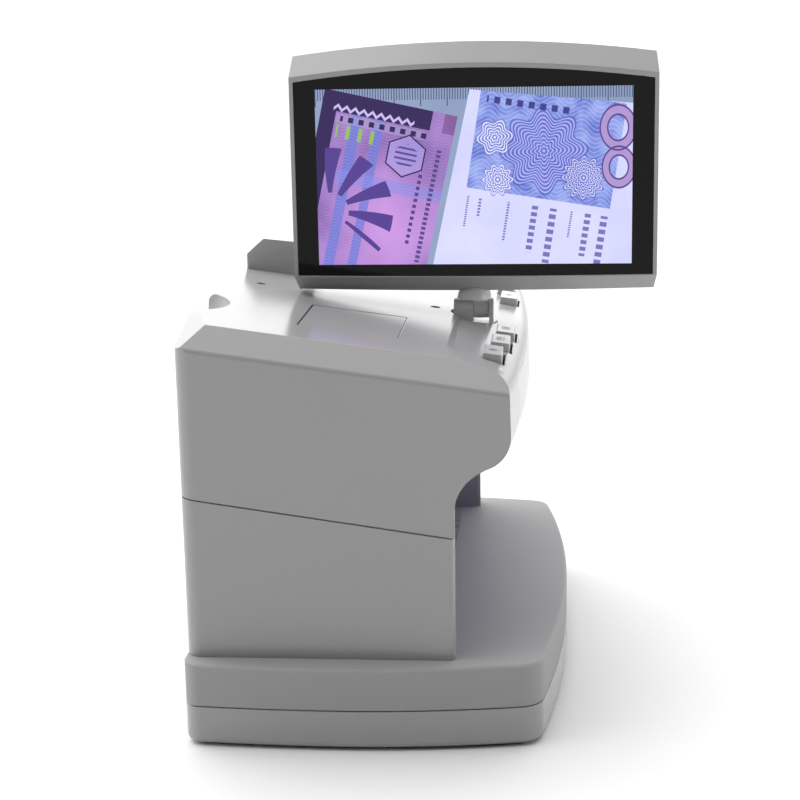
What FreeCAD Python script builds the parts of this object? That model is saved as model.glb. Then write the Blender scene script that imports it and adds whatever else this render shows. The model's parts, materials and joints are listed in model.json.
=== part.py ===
import FreeCAD, Part
import math
import os

# Banknote viewer: a lit inspection chamber over an open tray, with a camera in the head and a monitor
# on a swivel and tilt hinge. Millimetres. +Z up, the front is -Y, the origin is on the floor under
# the middle of the bounding box. At rest the monitor faces -X.

V = FreeCAD.Vector
X_AXIS = V(1, 0, 0)
Y_AXIS = V(0, 1, 0)
Z_AXIS = V(0, 0, 1)

# Driving dimensions
WALL = 2.5
LINER_WALL = 2.0
BACK_Y = 107.5

# Base
BASE_HALF_W = 139.0
BASE_WIDEST_Y = 40.0
BASE_FRONT_Y = -62.0
BASE_REAR_SIDE_R = 686.0
BASE_FRONT_SIDE_R = 400.0
BASE_FRONT_R = 718.0
BASE_FRONT_CORNER_R = 12.0
BASE_BACK_CORNER_R = 8.0
BASE_TOP_EDGE_R = 1.6
BASE_BOTTOM_EDGE_R = 3.0
PAN_BOTTOM_Z = 1.0
PAN_TOP_Z = 18.4
TRAY_Z = 38.0
GROOVE_H = 0.6
GROOVE_DEPTH = 0.8
PAN_VENT_X = range(-60, 61, 8)
PAN_VENT_Y = (10, 40)
CABLE_WAY_X = 20
CABLE_WAY_Y = (80, 95)

# Screws, bosses and feet under the base
BOSS_PLACES = [(-120, -12), (120, -12), (-121, 66), (121, 66), (-45, -48), (45, -48), (-45, 94), (45, 94)]
PAN_BOSS_R = 5.0
TRAY_BOSS_R = 4.2
BASE_SCREW_R = 1.3
BASE_SCREW_HEAD_R = 2.8
BASE_SCREW_RECESS_R = 3.2
BASE_SCREW_HOLE_R = 1.7
FOOT_PLACES = [(-108, -34), (108, -34), (-112, 86), (112, 86)]
FOOT_R = 8.0
FOOT_SINK = 1.2

# Plate with the ruler, let into the tray
PLATE_HALF_W = 100.0
PLATE_Y = (-3.0, 62.0)
PLATE_T = 1.5
TICK_PITCH = 5
TICK_W = 0.5
TICK_DEPTH = 0.25
TICK_LONG = 5.0
TICK_SHORT = 3.0
TICK_MARGIN = 2

# Body
BODY_HALF_W = 126.0
COLUMN_FRONT_Y = -13.0
BODY_BACK_CORNER_R = 7.0
COLUMN_CORNER_R = 2.4
SEAM_Z = 95.45
SEAM_SLOPE = 0.1465
DECK_Z = 173.6
DECK_SLOPE = 0.1395
SIDE_CHAMFER = 10.4
DECK_BACK_R = 4.0
ARCH_START_Z = 104.2
ARCH_R = 22.0
ARCH_TURN = math.radians(68.2)
NOSE_BOW_R = 1500.0
NOSE_FRONT_Y = -43.5
NOSE_BOTTOM_R = 15.0
NOSE_TOP_R = 11.0
NOTCH_CENTRE = V(-64, 119, 190.5)
NOTCH_R = 26.0

# Back wall
DC_PLACE = (-92.0, 52.0)
DC_NOSE_R = 4.5
DC_BORE_R = 2.9
DC_PIN_R = 1.0
VENT_X = range(30, 81, 7)
VENT_Z = (48, 84)
VENT_HALF_W = 1.5

# Screws in the deck
REAR_SCREW_Y = 89.0
FRONT_SCREW_Y = 2.7
DECK_SCREW_SINK = 6
DECK_SCREW_HEAD_R = 2.3
DECK_SCREW_R = 1.6

# Sloping key zone at the front of the deck
ZONE_BACK_Y = -8.6
ZONE_BACK_HALF_W = 92.7
ZONE_FRONT_HALF_W = 108.0
ZONE_DROP = 1.3
ZONE_SLOPE = 0.2
ZONE_MIDDLE_BEVEL = 1.0
ZONE_END_BEVEL = 3.6

# Inspection chamber
CHAMBER_HALF_W = 115.0
CHAMBER_BACK_Y = 70.0
CEILING_Z = 124.6
CEILING_T = 2.5
CEILING_FRONT_Y = -26.6
WINDOW_LEDGE = 1.2

# Lamps and camera over the chamber
LAMP_Y = (-8.0, 60.0)
LAMP_Z = 140.2
LAMP_R = 7.75
LAMP_HALF = 96.0
LAMP_CAP = 7
LAMP_PIN_R = 1.1
LAMP_PIN_L = 3
LAMP_PIN_Y = (-2.2, 2.2)
LAMP_WINDOW_HALF = 104.0
LAMP_WINDOW_HALF_Y = 9
CAMERA_Y = 28.0
CAMERA_WINDOW_R = 10.0
CAMERA_HALF_D = 16
BRACKET_HALF_W = 22
BRACKET_TOP_Z = 165
BRACKET_T = 2
CAMERA_BOARD_T = 1.8
LENS_BORE_R = 5
LENS_RIM_Z = 138
LENS_BARREL_Z = 141
LENS_MOUNT_Z = 152
IR_X = 45.0
IR_BOARD_Z = 129.5
IR_LED_PITCH = 8.5
IR_LED_R = 2.5
IR_LED_H = 2.6

# Boards behind the chamber
BOARD_Y = 92
BOARD_T = 1.6
CONNECTORS = [(24, 50), (44, 50), (64, 50), (84, 50), (30, 90), (60, 92)]

# Keys
KEY_X = [-90.0, -62.5, -35.5, 58.0, 85.0]
KEY_W = 20.0
KEY_L = 8.6
KEY_ROW_Y = -39.0
KEY_ROW_R = 870.0
KEY_TOP_OVER_DECK = 1.0
KEY_GAP = 0.35
KEY_SLIT = 0.9
KEY_TRAVEL = 0.8
STEM_R = 2.2
SWITCH_TOP_Z = 158.0
SWITCH_BODY_H = 3.5
KEY_BOARD_Z = 152.5
KEY_SCREW_X = (-79, -51, 71)
KEY_SCREW_Y = -33
KEY_SCREW_R = 1.3

# Deck lid
LID_X = (-88.0, -37.1)
LID_Y = (13.7, 58.4)
LID_T = 1.8
LID_GAP = 0.4
LID_RECESS = 3.4
LID_DROP = 0.1
LID_LEDGE = 3

# Raised cover
COVER_X = (37.4, 87.0)
COVER_Y = (66.0, 102.7)
COVER_WALL = 2.2
COVER_SHOULDER_Z = (194.3, 195.3)
COVER_TOP_Z = (201.3, 203.2)
COVER_SLANT = 9

# Hinge
PIVOT_X = -4.0
PIVOT_Y = -16.5
TURNTABLE_R = 11.0
TURNTABLE_GAP = 0.5
SOCKET_Z = 164.2
TURNTABLE_TOP_Z = 168.0
BARREL_Z = 173.9
BARREL_R = 4.5
PIN_R = 2.0
PIN_CLEARANCE = 0.05
EAR_T = 2.0
EAR_R = 5.2
KNUCKLE_Y = (-8.9, -16.4, -24.1)
SHAFT_R = 6.0
SHAFT_LENGTH = 14.8
CABLE_BORE_R = 3.2
BUSHING_R = 7.5
NUT_R = 10.0
NUT_H = 5.3
DOME_R = 8.4
DOME_X = -6.3
DOME_TOP_Z = 186.0
DOME_GAP = 0.2
FOOT_WEB_X = (-7.0, -1.3)
FOOT_PLATE_X = (-7.8, -1.2)
FOOT_PLATE_Z = 186.3

# Monitor
MONITOR_FRONT_X = -20.0
MONITOR_Y = -17.5
MONITOR_HALF_W = 86.7
MONITOR_BOTTOM_Z = 185.2
MONITOR_TOP_Z = 296.8
MONITOR_ARCH = 5.8
MONITOR_SAG = 1.1
BEZEL_DEPTH = 19.0
BEZEL_BACK_X = MONITOR_FRONT_X + BEZEL_DEPTH
FACET_DEPTH = 9.0
SIDE_TAPER = 1.0
COVER_DEPTH = 12.0
COVER_SHELL = 2.2
GLASS_BOTTOM_Z = 193.0
GLASS_TOP_Z = 284.9
GLASS_T = 1.6
GLASS_SINK = 0.2
GLASS_SAG = 0.6
DISPLAY_Y = -17.6
DISPLAY_Z = 239.8
PANEL_W = 154.08
PANEL_H = 85.92
PANEL_T = 3.4
MONITOR_VENTS = 9
MONITOR_VENT_PITCH = 8
MONITOR_SCREW_R = 1.6
MONITOR_SCREW_HEAD_R = 2.4
MONITOR_SCREW_SEAT_X = 4.2
MONITOR_SCREWS = [(MONITOR_Y + dy, z) for dy in (-66, 66) for z in (214, 276)]

# The bounding box runs from the monitor's right edge to the back; its middle becomes the origin.
ORIGIN_Y = (BACK_Y + MONITOR_Y - MONITOR_HALF_W) / 2


# Helpers -----------------------------------------------------------------------------------------

def box(x0, x1, y0, y1, z0, z1):
    return Part.makeBox(x1 - x0, y1 - y0, z1 - z0, V(x0, y0, z0))


def rod(radius, start, axis, length):
    return Part.makeCylinder(radius, length, V(*start), axis)


def pillar(x, y, z0, z1, radius):
    return rod(radius, (x, y, z0), Z_AXIS, z1 - z0)


def join(first, *others):
    for other in others:
        first = first.fuse(other)
    return first.removeSplitter()


def in_xy(z):
    return lambda a, b: V(a, b, z)


def in_yz(x):
    return lambda a, b: V(x, a, b)


def line(start, end):
    return Part.LineSegment(start, end).toShape()


def arc(start, middle, end):
    return Part.Arc(start, middle, end).toShape()


def rounded_wire(corners, lift):
    """Closed wire through corners (a, b, radius), each rounded with its own radius."""
    edges = []
    count = len(corners)
    starts = []
    ends = []
    middles = []
    for i in range(count):
        a, b, radius = corners[i]
        here = V(a, b, 0)
        back = V(*corners[i - 1][:2], 0) - here
        ahead = V(*corners[(i + 1) % count][:2], 0) - here
        half = back.getAngle(ahead) / 2
        back.normalize()
        ahead.normalize()
        reach = radius / math.tan(half)
        bisector = back + ahead
        if radius > 0:
            bisector.normalize()
            middles.append(here + bisector * (radius / math.sin(half) - radius))
        else:
            middles.append(None)
        starts.append(here + back * reach)
        ends.append(here + ahead * reach)
    for i in range(count):
        if middles[i] is not None:
            points = [lift(p.x, p.y) for p in (starts[i], middles[i], ends[i])]
            edges.append(arc(*points))
        following = starts[(i + 1) % count]
        if (following - ends[i]).Length > 1e-6:
            edges.append(line(lift(ends[i].x, ends[i].y), lift(following.x, following.y)))
    return Part.Wire(edges)


def prism(corners, lift, direction):
    return Part.Face(rounded_wire(corners, lift)).extrude(direction)


def sharp(points):
    return [(a, b, 0) for a, b in points]


def edges_where(shape, test):
    return [edge for edge in shape.Edges if test(edge.BoundBox)]


def round_edges(shape, radius, test):
    return shape.makeFillet(radius, edges_where(shape, test))


def mirrored(shape):
    return shape.mirror(V(0, 0, 0), X_AXIS)


def ruled(first, second):
    return Part.makeLoft([first, second], True, True)


def deck_z(y):
    return DECK_Z + DECK_SLOPE * y


def seam_z(y):
    return SEAM_Z + SEAM_SLOPE * y


def zone_z(y):
    """Height of the key zone's sloping plane."""
    return deck_z(ZONE_BACK_Y) - ZONE_DROP + ZONE_SLOPE * (y - ZONE_BACK_Y)


def deck_slab(x0, x1, y0, y1, low, high):
    """Block whose bottom and top run parallel to the deck, low and high above it."""
    bottom = [(y0, deck_z(y0) + low), (y1, deck_z(y1) + low)]
    top = [(y1, deck_z(y1) + high), (y0, deck_z(y0) + high)]
    return prism(sharp(bottom + top), in_yz(x0), V(x1 - x0, 0, 0))


def save(shape, name):
    shape = shape.removeSplitter() if len(shape.Solids) == 1 else shape.copy()
    shape.translate(V(0, -ORIGIN_Y, 0))
    if not shape.isValid():
        print("not valid:", name)
    print(name, len(shape.Solids), round(shape.Volume, 1))
    shape.exportStep("parts/" + name + ".step")


# Base --------------------------------------------------------------------------------------------

def circle_meet(centre_a, radius_a, centre_b, radius_b):
    """The meeting point with the larger x of two circles."""
    ax, ay = centre_a
    bx, by = centre_b
    gap = math.hypot(bx - ax, by - ay)
    along = (gap ** 2 + radius_a ** 2 - radius_b ** 2) / (2 * gap)
    across = math.sqrt(radius_a ** 2 - along ** 2)
    ux = (bx - ax) / gap
    uy = (by - ay) / gap
    one = (ax + along * ux - across * uy, ay + along * uy + across * ux)
    two = (ax + along * ux + across * uy, ay + along * uy - across * ux)
    return max(one, two)


def base_prism(z0, z1, inset, back_y, back_corner_r):
    """The base's bowed plan, inset all round, between two heights."""
    half = BASE_HALF_W - inset
    front_y = BASE_FRONT_Y + inset
    rear_r = BASE_REAR_SIDE_R - inset
    side_r = BASE_FRONT_SIDE_R - inset
    front_r = BASE_FRONT_R - inset
    side_centre = (half - side_r, BASE_WIDEST_Y)
    corner_x, corner_y = circle_meet(side_centre, side_r, (0, front_y + front_r), front_r)

    def bow_x(radius, y):
        return half - radius + math.sqrt(radius ** 2 - (y - BASE_WIDEST_Y) ** 2)

    mid_rear_y = (back_y + BASE_WIDEST_Y) / 2
    mid_side_y = (corner_y + BASE_WIDEST_Y) / 2
    edges = []
    for side in (-1, 1):
        rear = V(side * bow_x(rear_r, back_y), back_y, z0)
        mid_rear = V(side * bow_x(rear_r, mid_rear_y), mid_rear_y, z0)
        widest = V(side * half, BASE_WIDEST_Y, z0)
        mid_side = V(side * bow_x(side_r, mid_side_y), mid_side_y, z0)
        corner = V(side * corner_x, corner_y, z0)
        edges.append(arc(rear, mid_rear, widest))
        edges.append(arc(widest, mid_side, corner))
    edges.append(arc(V(corner_x, corner_y, z0), V(0, front_y, z0), V(-corner_x, corner_y, z0)))
    rear_x = bow_x(rear_r, back_y)
    edges.append(line(V(-rear_x, back_y, z0), V(rear_x, back_y, z0)))
    wire = Part.Wire(Part.__sortEdges__(edges))
    solid = Part.Face(wire).extrude(V(0, 0, z1 - z0))

    def upright(b):
        return b.XLength < 0.01 and b.YLength < 0.01

    solid = round_edges(solid, max(BASE_FRONT_CORNER_R - inset, 1), lambda b: upright(b) and b.YMax < 0)
    if back_corner_r > 0:
        solid = round_edges(solid, back_corner_r, lambda b: upright(b) and b.YMin > back_y - 1)
    return solid


def base_pan():
    floor_z = PAN_BOTTOM_Z + WALL
    outer = base_prism(PAN_BOTTOM_Z, PAN_TOP_Z, 0, BACK_Y, BASE_BACK_CORNER_R)
    outer = round_edges(outer, BASE_BOTTOM_EDGE_R, lambda b: b.ZMax < PAN_BOTTOM_Z + 0.01)
    inner = base_prism(floor_z, PAN_TOP_Z, WALL, BACK_Y - WALL, BASE_BACK_CORNER_R - WALL)
    inner = round_edges(inner, BASE_BOTTOM_EDGE_R - WALL, lambda b: b.ZMax < floor_z + 0.01)
    pan = outer.cut(inner)
    pan = pan.fuse([rod(PAN_BOSS_R, (x, y, PAN_BOTTOM_Z + 1), Z_AXIS, 10) for x, y in BOSS_PLACES])
    holes = []
    for x, y in BOSS_PLACES:
        holes.append(rod(BASE_SCREW_RECESS_R, (x, y, PAN_BOTTOM_Z - 1), Z_AXIS, 5.5))
        holes.append(rod(BASE_SCREW_HOLE_R, (x, y, PAN_BOTTOM_Z), Z_AXIS, 14))
    for x, y in FOOT_PLACES:
        holes.append(rod(FOOT_R + 0.1, (x, y, PAN_BOTTOM_Z - 1), Z_AXIS, 1 + FOOT_SINK))
    slots = [box(x - 1.2, x + 1.2, *PAN_VENT_Y, PAN_BOTTOM_Z - 1, floor_z + 1) for x in PAN_VENT_X]
    return pan.cut(holes + slots)


def rubber_feet():
    feet = []
    for x, y in FOOT_PLACES:
        foot = rod(FOOT_R, (x, y, 0), Z_AXIS, PAN_BOTTOM_Z + FOOT_SINK)
        feet.append(round_edges(foot, 0.8, lambda b: b.ZMax < 0.01))
    return Part.makeCompound(feet)


def base_screws():
    screws = []
    for x, y in BOSS_PLACES:
        head = rod(BASE_SCREW_HEAD_R, (x, y, PAN_BOTTOM_Z + 2.5), Z_AXIS, 2)
        shank = rod(BASE_SCREW_R, (x, y, PAN_BOTTOM_Z + 4), Z_AXIS, 18)
        drive_slot = box(x - 1.5, x + 1.5, y - 0.3, y + 0.3, PAN_BOTTOM_Z + 2, PAN_BOTTOM_Z + 3.3)
        screws.append(join(head, shank).cut(drive_slot))
    return Part.makeCompound(screws)


def back_corner_tools():
    """What rounds the two upright corners at the back of the base."""
    r = BASE_BACK_CORNER_R
    side = BASE_HALF_W - BASE_REAR_SIDE_R
    x = side + math.sqrt(BASE_REAR_SIDE_R ** 2 - (BACK_Y - r - BASE_WIDEST_Y) ** 2)
    tool = box(x - r, x + 10, BACK_Y - r, BACK_Y + 10, 0, 100).cut(pillar(x - r, BACK_Y - r, 0, 100, r))
    return [tool, mirrored(tool)]


def base_tray():
    blank = base_prism(PAN_TOP_Z, TRAY_Z, 0, BACK_Y + 10, 0)
    blank = round_edges(blank, BASE_TOP_EDGE_R, lambda b: b.ZMin > TRAY_Z - 0.01)
    outer = blank.cut([box(-200, 200, BACK_Y, BACK_Y + 20, 0, 100)] + back_corner_tools())
    inner = base_prism(PAN_TOP_Z - 1, TRAY_Z - WALL, WALL, BACK_Y - WALL, BASE_BACK_CORNER_R - WALL)
    tray = outer.cut(inner)
    groove = base_prism(PAN_TOP_Z - 1, PAN_TOP_Z + GROOVE_H, -5, BACK_Y + 5, 0)
    groove = groove.cut(base_prism(PAN_TOP_Z - 2, PAN_TOP_Z + 5, GROOVE_DEPTH, BACK_Y - GROOVE_DEPTH, 5))
    tray = tray.cut(groove)
    tray = tray.fuse([pillar(x, y, PAN_BOTTOM_Z + 11, TRAY_Z - 1, TRAY_BOSS_R) for x, y in BOSS_PLACES])
    y0, y1 = PLATE_Y
    ledge = box(-PLATE_HALF_W - 2, PLATE_HALF_W + 2, y0 - 2, y1 + 2, TRAY_Z - WALL - 1.5, TRAY_Z - WALL)
    recess = box(-PLATE_HALF_W, PLATE_HALF_W, y0, y1, TRAY_Z - PLATE_T, TRAY_Z + 1)
    holes = [rod(BASE_SCREW_R, (x, y, PAN_BOTTOM_Z), Z_AXIS, 22) for x, y in BOSS_PLACES]
    cable_way = box(-CABLE_WAY_X, CABLE_WAY_X, *CABLE_WAY_Y, TRAY_Z - 5, TRAY_Z + 1)
    return tray.fuse(ledge).cut([recess, cable_way] + holes)


def inspection_plate():
    y0, y1 = PLATE_Y
    plate = box(-PLATE_HALF_W, PLATE_HALF_W, y0, y1, TRAY_Z - PLATE_T, TRAY_Z)
    ticks = []
    tick_y = y1 - TICK_MARGIN
    last = round(PLATE_HALF_W / TICK_PITCH) - 1
    for i in range(-last, last + 1):
        x = TICK_PITCH * i
        length = TICK_LONG if i % 2 == 0 else TICK_SHORT
        x0 = x - TICK_W / 2
        ticks.append(box(x0, x0 + TICK_W, tick_y - length, tick_y, TRAY_Z - TICK_DEPTH, TRAY_Z + 1))
    return plate.cut(ticks)


# Housings ----------------------------------------------------------------------------------------

def body_plan(inset, front_y, front_r):
    half = BODY_HALF_W - inset
    return [
        (half, BACK_Y - inset, BODY_BACK_CORNER_R - inset),
        (-half, BACK_Y - inset, BODY_BACK_CORNER_R - inset),
        (-half, front_y, front_r),
        (half, front_y, front_r),
    ]


def below_seam(shift):
    """Everything below the sloping seam, moved up by shift."""
    points = [(-80, 0), (150, 0), (150, seam_z(150) + shift), (-80, seam_z(-80) + shift)]
    return prism(sharp(points), in_yz(-200), V(400, 0, 0))


def lower_block(inset):
    plan = body_plan(inset, COLUMN_FRONT_Y + inset, max(COLUMN_CORNER_R - inset, 0.5))
    return prism(plan, in_xy(TRAY_Z), V(0, 0, 90)).common(below_seam(0))


def lower_housing():
    inner = prism(body_plan(WALL, COLUMN_FRONT_Y + WALL, 0.5), in_xy(0), V(0, 0, 200))
    mouth_half = CHAMBER_HALF_W + LINER_WALL
    mouth = box(-mouth_half, mouth_half, COLUMN_FRONT_Y - 5, 0, 0, 200)
    dc_hole = rod(DC_NOSE_R + 0.1, (DC_PLACE[0], BACK_Y - 10, DC_PLACE[1]), Y_AXIS, 20)
    vents = [box(x - VENT_HALF_W, x + VENT_HALF_W, BACK_Y - 10, BACK_Y + 5, *VENT_Z) for x in VENT_X]
    return lower_block(0).cut(inner).cut([mouth, dc_hole] + vents)


def side_profile(inset):
    """Closed side view of the head and the upper walls as a solid, open at the front for the nose tool."""
    back = BACK_Y - inset
    arch_x = COLUMN_FRONT_Y + inset - (ARCH_R + inset)
    radius = ARCH_R + inset

    def on_arch(turn):
        return in_yz(-200)(arch_x + radius * math.cos(turn), ARCH_START_Z + radius * math.sin(turn))

    lift = in_yz(-200)
    top = DECK_Z - inset
    start = on_arch(0)
    end = on_arch(ARCH_TURN)
    front = NOSE_FRONT_Y - 10
    corner = lift(back, top + DECK_SLOPE * back)
    slope = V(0, 1, DECK_SLOPE)
    slope.normalize()
    half = V(0, 0, -1).getAngle(slope * -1) / 2
    back_r = max(DECK_BACK_R - inset, 1)
    reach = back_r / math.tan(half)
    on_back = corner + V(0, 0, -reach)
    on_deck = corner - slope * reach
    inward = V(0, 0, -1) - slope
    inward.normalize()
    middle = corner + inward * (back_r / math.sin(half) - back_r)
    edges = [
        line(lift(back, 60), lift(COLUMN_FRONT_Y + inset, 60)),
        line(lift(COLUMN_FRONT_Y + inset, 60), start),
        arc(start, on_arch(ARCH_TURN / 2), end),
        line(end, lift(front, end.z)),
        line(lift(front, end.z), lift(front, top + DECK_SLOPE * front)),
        line(lift(front, top + DECK_SLOPE * front), on_deck),
        arc(on_deck, middle, on_back),
        line(on_back, lift(back, 60)),
    ]
    return Part.Face(Part.Wire(edges)).extrude(V(400, 0, 0))


def chamfered_section(inset):
    """Cross-section with the chamfered shoulders, run along the deck's slope."""
    half = BODY_HALF_W - inset
    top = DECK_Z + 20
    # offset of a 45-degree line by inset, measured along Z at the side wall
    shoulder = DECK_Z - SIDE_CHAMFER + inset * (1 - math.sqrt(2))
    run = top - shoulder
    low = -40
    corners = [
        (-half, low, 0),
        (half, low, 0),
        (half, shoulder, 3.0),
        (half - run, top, 0),
        (run - half, top, 0),
        (-half, shoulder, 3.0),
    ]
    y0 = -90

    def lift(a, b):
        return V(a, y0, b + DECK_SLOPE * y0)

    return prism(corners, lift, V(0, 240, 240 * DECK_SLOPE))


def nose_tool(inset):
    """What is cut away in front of the nose: revolved, so that the front is bowed in plan."""
    front = NOSE_FRONT_Y + inset
    under = 0.4
    normal = math.hypot(1, under)
    start_y = COLUMN_FRONT_Y - ARCH_R + ARCH_R * math.cos(ARCH_TURN) - 5
    start_z = ARCH_START_Z + ARCH_R * math.sin(ARCH_TURN) + inset * normal
    steep = 0.32
    crease_y = NOSE_FRONT_Y + 19
    crease_z = DECK_Z + DECK_SLOPE * crease_y - inset
    top_z = crease_z + 14 * steep
    corners = [
        (front - 60, 40, 0),
        (start_y, 40, 0),
        (start_y, start_z, 0),
        (front, start_z + under * (start_y - front), NOSE_BOTTOM_R - inset),
        (front + 0.8, crease_z - steep * (crease_y - front), NOSE_TOP_R - inset),
        (crease_y + 14, top_z, 0),
        (front - 60, top_z + 30, 0),
    ]
    face = Part.Face(rounded_wire(corners, in_yz(0)))
    axis_y = NOSE_FRONT_Y + NOSE_BOW_R
    face.rotate(V(0, axis_y, 0), Z_AXIS, -8)
    return face.revolve(V(0, axis_y, 0), Z_AXIS, 16)


def zone_profile(x, bevel, drop):
    """Cross-section of the key zone's cut at one x: bevelled step down, then the sloping floor."""
    front_y = NOSE_FRONT_Y - 12
    bevel_y = ZONE_BACK_Y - bevel
    points = [
        V(x, ZONE_BACK_Y, deck_z(ZONE_BACK_Y) - drop),
        V(x, bevel_y, zone_z(bevel_y) - drop),
        V(x, front_y, zone_z(front_y) - drop),
        V(x, front_y, DECK_Z + 60),
        V(x, ZONE_BACK_Y, DECK_Z + 60),
    ]
    return Part.makePolygon(points + points[:1])


def zone_tool(drop):
    """Cut for the sloping key zone; the bevel along its back edge widens toward both ends."""
    front_y = NOSE_FRONT_Y - 12
    reach = ZONE_FRONT_HALF_W + 10
    middle = zone_profile(0, ZONE_MIDDLE_BEVEL, drop)
    right = ruled(middle, zone_profile(reach, ZONE_END_BEVEL, drop))
    wedge = join(right, mirrored(right))
    plan = sharp([
        (-ZONE_BACK_HALF_W, ZONE_BACK_Y),
        (-ZONE_FRONT_HALF_W, front_y),
        (ZONE_FRONT_HALF_W, front_y),
        (ZONE_BACK_HALF_W, ZONE_BACK_Y),
    ])
    return wedge.common(prism(plan, in_xy(100), V(0, 0, 200)))


def corner_cut(inset):
    """Slanted cut across the deck's rear corner on the left."""
    a = V(-BODY_HALF_W, 107.0, deck_z(107) - SIDE_CHAMFER - 1.5)
    b = V(-115.6, 94.5, deck_z(94.5))
    c = V(-94.0, 101.5, deck_z(101.5))
    normal = (b - a).cross(c - b)
    normal.normalize()
    if normal.y < 0:
        normal = normal * -1
    centre = b - normal * inset
    slab = Part.makeBox(160, 160, 60, V(-80, -80, 0))
    slab.Placement = FreeCAD.Placement(centre, FreeCAD.Rotation(Z_AXIS, normal))
    return slab


def upper_block(inset):
    plan = body_plan(inset, NOSE_FRONT_Y - 20, 0)
    block = side_profile(inset).common(prism(plan, in_xy(50), V(0, 0, 200)))
    block = block.common(chamfered_section(inset))
    block = block.cut(nose_tool(inset))
    left_corner = corner_cut(inset)
    return block.cut([left_corner, mirrored(left_corner)])


def key_centre_y(x):
    return KEY_ROW_Y + KEY_L / 2 + KEY_SLIT + x ** 2 / (2 * KEY_ROW_R)


def key_opening(x, gap):
    y = key_centre_y(x)
    half_w = KEY_W / 2 + gap
    return box(x - half_w, x + half_w, y - KEY_L / 2 - KEY_SLIT, y + KEY_L / 2 + gap, 150, 200)


def deck_bosses():
    bosses = []
    for y in (REAR_SCREW_Y, FRONT_SCREW_Y):
        bosses.append(pillar(0, y, 152.0, deck_z(y) - 1, 4.5))
    return bosses


def deck_screw_holes():
    holes = []
    for y in (REAR_SCREW_Y, FRONT_SCREW_Y):
        holes.append(pillar(0, y, deck_z(y) - DECK_SCREW_SINK, deck_z(y) + 5, DECK_SCREW_HEAD_R + 0.1))
        holes.append(pillar(0, y, 140, deck_z(y), DECK_SCREW_R))
    return holes


def around_lid(margin, low):
    """Deck-parallel block around the lid's outline, from low up through the deck."""
    return deck_slab(LID_X[0] - margin, LID_X[1] + margin, LID_Y[0] - margin, LID_Y[1] + margin, low, 5)


def upper_housing():
    notch = Part.makeSphere(NOTCH_R, NOTCH_CENTRE)
    notch_skin = Part.makeSphere(NOTCH_R + WALL, NOTCH_CENTRE)
    outer = upper_block(0).cut([zone_tool(0), notch])
    inner = upper_block(WALL).cut([zone_tool(WALL), notch_skin])
    inner = inner.cut(around_lid(LID_LEDGE, -LID_RECESS - 1.6))
    shell = outer.cut(inner).cut(below_seam(0))
    shell = shell.fuse(deck_bosses())
    socket_r = TURNTABLE_R + TURNTABLE_GAP
    collar = pillar(PIVOT_X, PIVOT_Y, SOCKET_Z - 6, SOCKET_Z + 2.6, socket_r + 2)
    shell = shell.fuse(collar.cut(nose_tool(0)))
    half_w = CHAMBER_HALF_W + LINER_WALL
    chamber = box(-half_w, half_w, CEILING_FRONT_Y, 80, 60, CEILING_Z + CEILING_T)
    mouth = box(-CHAMBER_HALF_W, CHAMBER_HALF_W, -60, CEILING_FRONT_Y, 60, 110)
    groove_core = prism(body_plan(GROOVE_DEPTH, COLUMN_FRONT_Y + GROOVE_DEPTH, 1), in_xy(0), V(0, 0, 300))
    groove = below_seam(GROOVE_H).cut(groove_core)
    turntable_hole = pillar(PIVOT_X, PIVOT_Y, SOCKET_Z, 200, socket_r)
    shaft_hole = pillar(PIVOT_X, PIVOT_Y, 150, 200, BUSHING_R)
    cuts = [chamber, mouth, groove, turntable_hole, shaft_hole, around_lid(LID_GAP, -LID_RECESS)]
    cuts += [key_opening(x, KEY_GAP) for x in KEY_X]
    cuts += deck_screw_holes()
    return shell.cut(cuts)


def chamber_liner():
    half_w = CHAMBER_HALF_W + LINER_WALL
    outer = box(-half_w, half_w, -60, CHAMBER_BACK_Y + LINER_WALL, TRAY_Z, CEILING_Z + CEILING_T)
    inner = box(-CHAMBER_HALF_W, CHAMBER_HALF_W, -70, CHAMBER_BACK_Y, TRAY_Z - 1, 200)
    low = lower_block(WALL + 0.1)
    high = upper_block(WALL + 0.1)
    return outer.cut(inner).common(join(low, high.cut(below_seam(0))))


def ceiling_panel():
    top_z = CEILING_Z + CEILING_T
    ledge_z = CEILING_Z + WINDOW_LEDGE
    half = LAMP_WINDOW_HALF
    half_y = LAMP_WINDOW_HALF_Y
    panel = box(-CHAMBER_HALF_W, CHAMBER_HALF_W, CEILING_FRONT_Y, CHAMBER_BACK_Y, CEILING_Z, top_z)
    cuts = [pillar(0, CAMERA_Y, 100, 150, CAMERA_WINDOW_R - 1.5)]
    cuts.append(pillar(0, CAMERA_Y, ledge_z, 150, CAMERA_WINDOW_R + 0.1))
    for y in LAMP_Y:
        cuts.append(box(-half + 2, half - 2, y - half_y + 2, y + half_y - 2, 100, 150))
        cuts.append(box(-half, half, y - half_y, y + half_y, ledge_z, 150))
    for side in (-1, 1):
        x = side * IR_X
        cuts.append(box(x - 13, x + 13, CAMERA_Y - 5, CAMERA_Y + 5, 100, 150))
    return panel.cut(cuts)


def lamp_window(y):
    half = LAMP_WINDOW_HALF - 0.1
    half_y = LAMP_WINDOW_HALF_Y - 0.1
    return box(-half, half, y - half_y, y + half_y, CEILING_Z + WINDOW_LEDGE, CEILING_Z + CEILING_T)


def camera_window():
    return pillar(0, CAMERA_Y, CEILING_Z + WINDOW_LEDGE, CEILING_Z + CEILING_T, CAMERA_WINDOW_R)


def uv_lamp(y):
    tube = rod(LAMP_R, (-LAMP_HALF, y, LAMP_Z), X_AXIS, 2 * LAMP_HALF)
    return tube.cut(rod(LAMP_R - 0.8, (-LAMP_HALF + 1, y, LAMP_Z), X_AXIS, 2 * LAMP_HALF - 2))


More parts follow.
